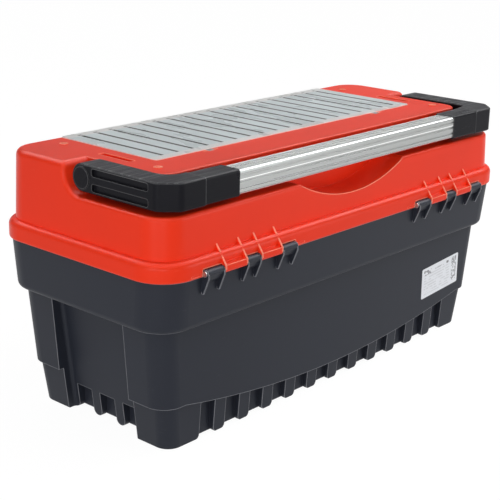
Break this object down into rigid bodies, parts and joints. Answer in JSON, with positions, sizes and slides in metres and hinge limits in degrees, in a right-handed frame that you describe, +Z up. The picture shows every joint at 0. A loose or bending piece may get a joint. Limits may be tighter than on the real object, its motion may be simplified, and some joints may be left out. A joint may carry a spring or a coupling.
{
  "type": "cantilever tool box",
  "caption": "Long portable tool box: ribbed tub, hinged lid with folding bar handle and clear-topped organizer, latches, and trays on swinging arms that the lid lifts.",
  "frame": {"origin": "centre of the footprint on the floor", "axes": "+X along the box towards the end on the left when it is seen from behind, +Y towards the hinge side, +Z up"},
  "size_m": [0.708, 0.312, 0.3358],
  "materials": {
    "black_plastic": "satin moulded polypropylene",
    "red_plastic": "satin moulded polypropylene",
    "handle_plastic": "fine-grained moulded plastic",
    "aluminium": "brushed extrusion",
    "clear_plastic": "clear ribbed polystyrene",
    "grey_plastic": "moulded tray plastic",
    "zinc_steel": "zinc-plated steel"
  },
  "bodies": {
    "base": {"base_tub": "black_plastic", "hinge_pin_left": "zinc_steel", "hinge_pin_right": "zinc_steel", "tub_bracket_left": "black_plastic", "tub_bracket_right": "black_plastic", "arm_pivots_left": "zinc_steel", "arm_pivots_right": "zinc_steel"},
    "lid": {"lid_shell": "red_plastic", "organizer_bin": "grey_plastic", "cover_pin_left": "zinc_steel", "cover_pin_right": "zinc_steel", "frame_screws": "zinc_steel", "tray_lift_plate_left": "zinc_steel", "tray_lift_plate_right": "zinc_steel", "handle_pivot_left": "handle_plastic", "handle_pivot_right": "handle_plastic", "latch_pin_left": "zinc_steel", "latch_pin_right": "zinc_steel"},
    "handle": {"handle_arm_left": "handle_plastic", "handle_arm_right": "handle_plastic", "grip_socket_left": "handle_plastic", "grip_socket_right": "handle_plastic", "grip_profile": "aluminium"},
    "cover": {"organizer_cover": "clear_plastic"},
    "latch_left": {"latch_left": "black_plastic"},
    "latch_right": {"latch_right": "black_plastic"},
    "long_arm_left": {"tray_arm_long_left": "zinc_steel"},
    "long_arm_right": {"tray_arm_long_right": "zinc_steel"},
    "short_arm_left": {"tray_arm_short_left": "zinc_steel"},
    "short_arm_right": {"tray_arm_short_right": "zinc_steel"},
    "upper_tray": {"upper_tray": "grey_plastic", "upper_tray_rivets": "zinc_steel"},
    "lower_tray": {"lower_tray": "grey_plastic", "lower_tray_rivets": "zinc_steel"}
  },
  "joints": [
    {"name": "lid_open", "type": "hinge", "parent": "base", "child": "lid", "pos_m": [0, 0.1505, 0.226], "axis": [-1, 0, 0], "range_deg": [0, 100]},
    {"name": "handle_lift", "type": "hinge", "parent": "lid", "child": "handle", "pos_m": [0, 0, 0.319], "axis": [1, 0, 0], "range_deg": [0, 90]},
    {"name": "cover_open", "type": "hinge", "parent": "lid", "child": "cover", "pos_m": [0, 0.045, 0.3306], "axis": [-1, 0, 0], "range_deg": [0, 95]},
    {"name": "latch_left_open", "type": "hinge", "parent": "lid", "child": "latch_left", "pos_m": [-0.209, -0.1505, 0.24], "axis": [-1, 0, 0], "range_deg": [0, 80]},
    {"name": "latch_right_open", "type": "hinge", "parent": "lid", "child": "latch_right", "pos_m": [0.209, -0.1505, 0.24], "axis": [-1, 0, 0], "range_deg": [0, 80]},
    {"name": "long_arm_left_swing", "type": "hinge", "parent": "base", "child": "long_arm_left", "pos_m": [-0.29025, 0.06, 0.19], "axis": [-1, 0, 0], "range_deg": [0, 100]},
    {"name": "short_arm_left_swing", "type": "hinge", "parent": "base", "child": "short_arm_left", "pos_m": [-0.29025, 0.02, 0.15], "axis": [-1, 0, 0], "range_deg": [0, 100]},
    {"name": "long_arm_right_swing", "type": "hinge", "parent": "base", "child": "long_arm_right", "pos_m": [0.29025, 0.06, 0.19], "axis": [-1, 0, 0], "range_deg": [0, 100]},
    {"name": "short_arm_right_swing", "type": "hinge", "parent": "base", "child": "short_arm_right", "pos_m": [0.29025, 0.02, 0.15], "axis": [-1, 0, 0], "range_deg": [0, 100]},
    {"name": "upper_tray_level", "type": "hinge", "parent": "long_arm_left", "child": "upper_tray", "pos_m": [-0.29025, -0.08, 0.19], "axis": [-1, 0, 0], "range_deg": [-100, 0]},
    {"name": "lower_tray_level", "type": "hinge", "parent": "long_arm_left", "child": "lower_tray", "pos_m": [-0.29025, -0.01, 0.19], "axis": [-1, 0, 0], "range_deg": [-100, 0]}
  ],
  "couplings": [
    {"joint": "long_arm_left_swing", "follows": "lid_open", "ratio": 1},
    {"joint": "short_arm_left_swing", "follows": "lid_open", "ratio": 1},
    {"joint": "long_arm_right_swing", "follows": "lid_open", "ratio": 1},
    {"joint": "short_arm_right_swing", "follows": "lid_open", "ratio": 1},
    {"joint": "upper_tray_level", "follows": "lid_open", "ratio": -1},
    {"joint": "lower_tray_level", "follows": "lid_open", "ratio": -1}
  ]
}
